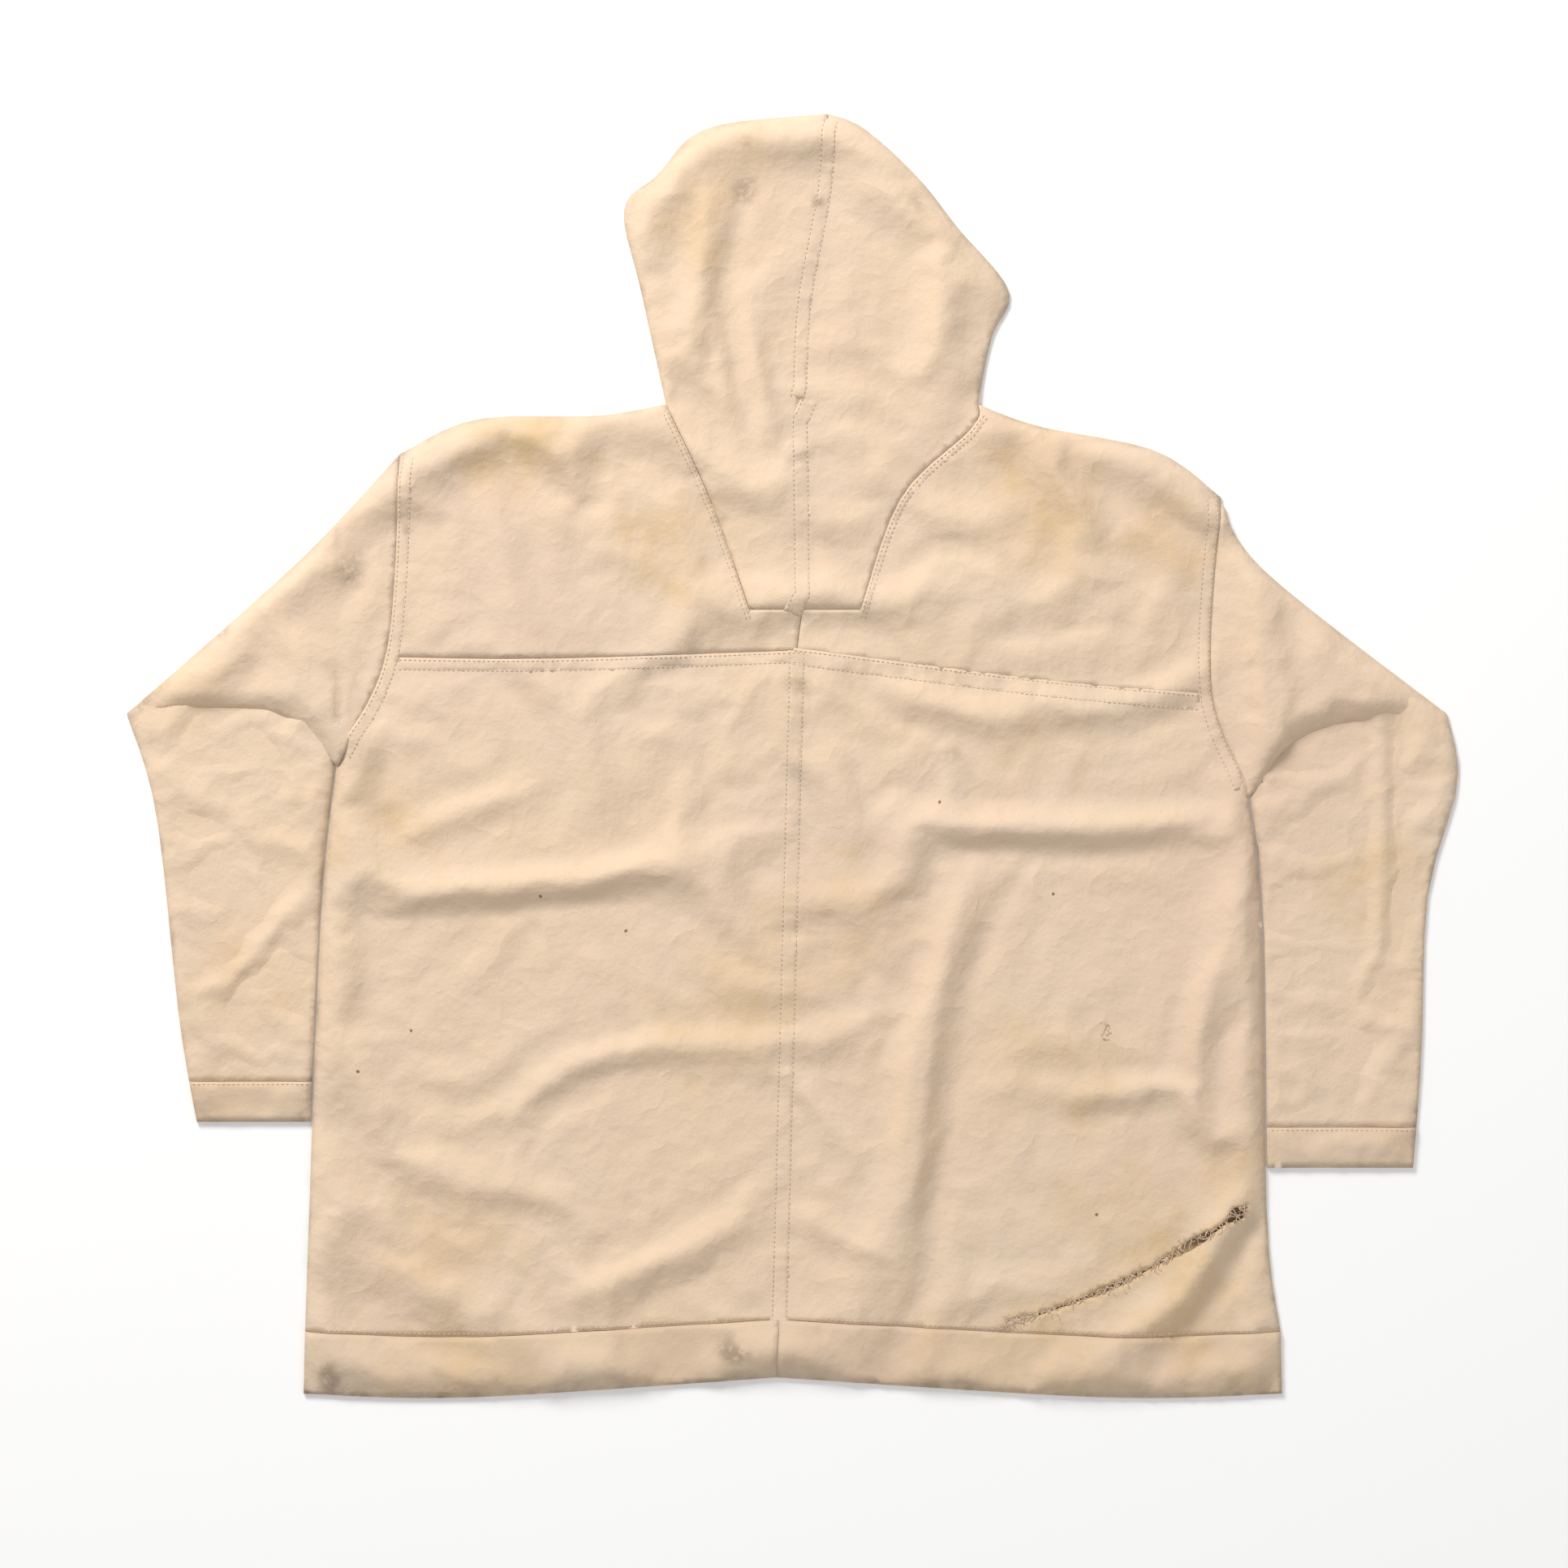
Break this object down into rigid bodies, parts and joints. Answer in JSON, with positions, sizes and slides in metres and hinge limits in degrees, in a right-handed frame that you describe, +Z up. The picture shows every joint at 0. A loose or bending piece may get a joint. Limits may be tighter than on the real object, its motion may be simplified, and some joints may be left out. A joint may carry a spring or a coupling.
{
  "type": "hooded canvas pullover smock",
  "caption": "Hooded pullover work smock in heavy cream cotton canvas, laid flat on its front with both sleeves bent at the elbow; torn, stained and creased.",
  "frame": {"origin": "middle of the underside of the laid garment, on the surface it lies on", "axes": "+Z up out of the back of the smock; +Y from the hem towards the hood; +X to the right of someone looking down at the back with the hood away from them; the left and right names are that viewer's"},
  "size_m": [0.9852, 0.95, 0.014],
  "materials": {
    "canvas": "washed heavy plain-weave cotton canvas, cream, stained",
    "canvas_doubled": "the same canvas doubled at hems, cuffs and felled seams, edges slightly grimy",
    "thread": "cream cotton topstitching on felled seams"
  },
  "bodies": {
    "torso": {"back_left": "canvas", "yoke_left": "canvas", "hood_tongue_left": "canvas", "hem_back_left": "canvas_doubled", "front_left": "canvas", "hem_front_left": "canvas_doubled", "side_seam_left": "canvas_doubled", "shoulder_seam_left": "canvas_doubled", "yoke_felling_left": "thread", "armhole_felling_left": "thread", "tongue_felling_left": "thread", "hem_stitching_left": "thread", "sleeve_head_top_left": "canvas", "sleeve_head_under_left": "canvas", "back_right": "canvas", "yoke_right": "canvas", "hood_tongue_right": "canvas", "hem_back_right": "canvas_doubled", "front_right": "canvas", "hem_front_right": "canvas_doubled", "side_seam_right": "canvas_doubled", "shoulder_seam_right": "canvas_doubled", "yoke_felling_right": "thread", "armhole_felling_right": "thread", "tongue_felling_right": "thread", "hem_stitching_right": "thread", "sleeve_head_top_right": "canvas", "sleeve_head_under_right": "canvas", "centre_back_felling": "thread", "tongue_centre_felling": "thread"},
    "left_sleeve": {"sleeve_top_left": "canvas", "sleeve_under_left": "canvas", "sleeve_edge_left": "canvas_doubled"},
    "right_sleeve": {"sleeve_top_right": "canvas", "sleeve_under_right": "canvas", "sleeve_edge_right": "canvas_doubled"},
    "left_forearm": {"forearm_top_left": "canvas", "forearm_under_left": "canvas", "forearm_edge_left": "canvas_doubled", "forearm_seam_left": "canvas_doubled", "cuff_left": "canvas_doubled"},
    "right_forearm": {"forearm_top_right": "canvas", "forearm_under_right": "canvas", "forearm_edge_right": "canvas_doubled", "forearm_seam_right": "canvas_doubled", "cuff_right": "canvas_doubled"},
    "hood": {"hood_left": "canvas", "hood_edge_left": "canvas_doubled", "hood_under_left": "canvas", "face_hem_left": "canvas_doubled", "hood_right": "canvas", "hood_edge_right": "canvas_doubled", "hood_under_right": "canvas", "face_hem_right": "canvas_doubled", "hood_centre_felling": "thread"}
  },
  "joints": [
    {"name": "hood_fold", "type": "hinge", "parent": "torso", "child": "hood", "pos_m": [0.006, 0.2603, 0.015], "axis": [1, 0, 0], "range_deg": [0, 150]},
    {"name": "sleeve_left_fold", "type": "hinge", "parent": "torso", "child": "left_sleeve", "pos_m": [-0.3376, 0.08, 0.015], "axis": [0, 1, 0], "range_deg": [0, 170]},
    {"name": "sleeve_right_fold", "type": "hinge", "parent": "torso", "child": "right_sleeve", "pos_m": [0.3384, 0.06, 0.015], "axis": [0, -1, 0], "range_deg": [0, 160]},
    {"name": "elbow_left_swing", "type": "hinge", "parent": "left_sleeve", "child": "left_forearm", "pos_m": [-0.4926, 0.0312, 0.007], "axis": [0, 0, -1], "range_deg": [0, 35]},
    {"name": "elbow_right_swing", "type": "hinge", "parent": "right_sleeve", "child": "right_forearm", "pos_m": [0.4844, 0.0312, 0.007], "axis": [0, 0, 1], "range_deg": [0, 35]}
  ]
}
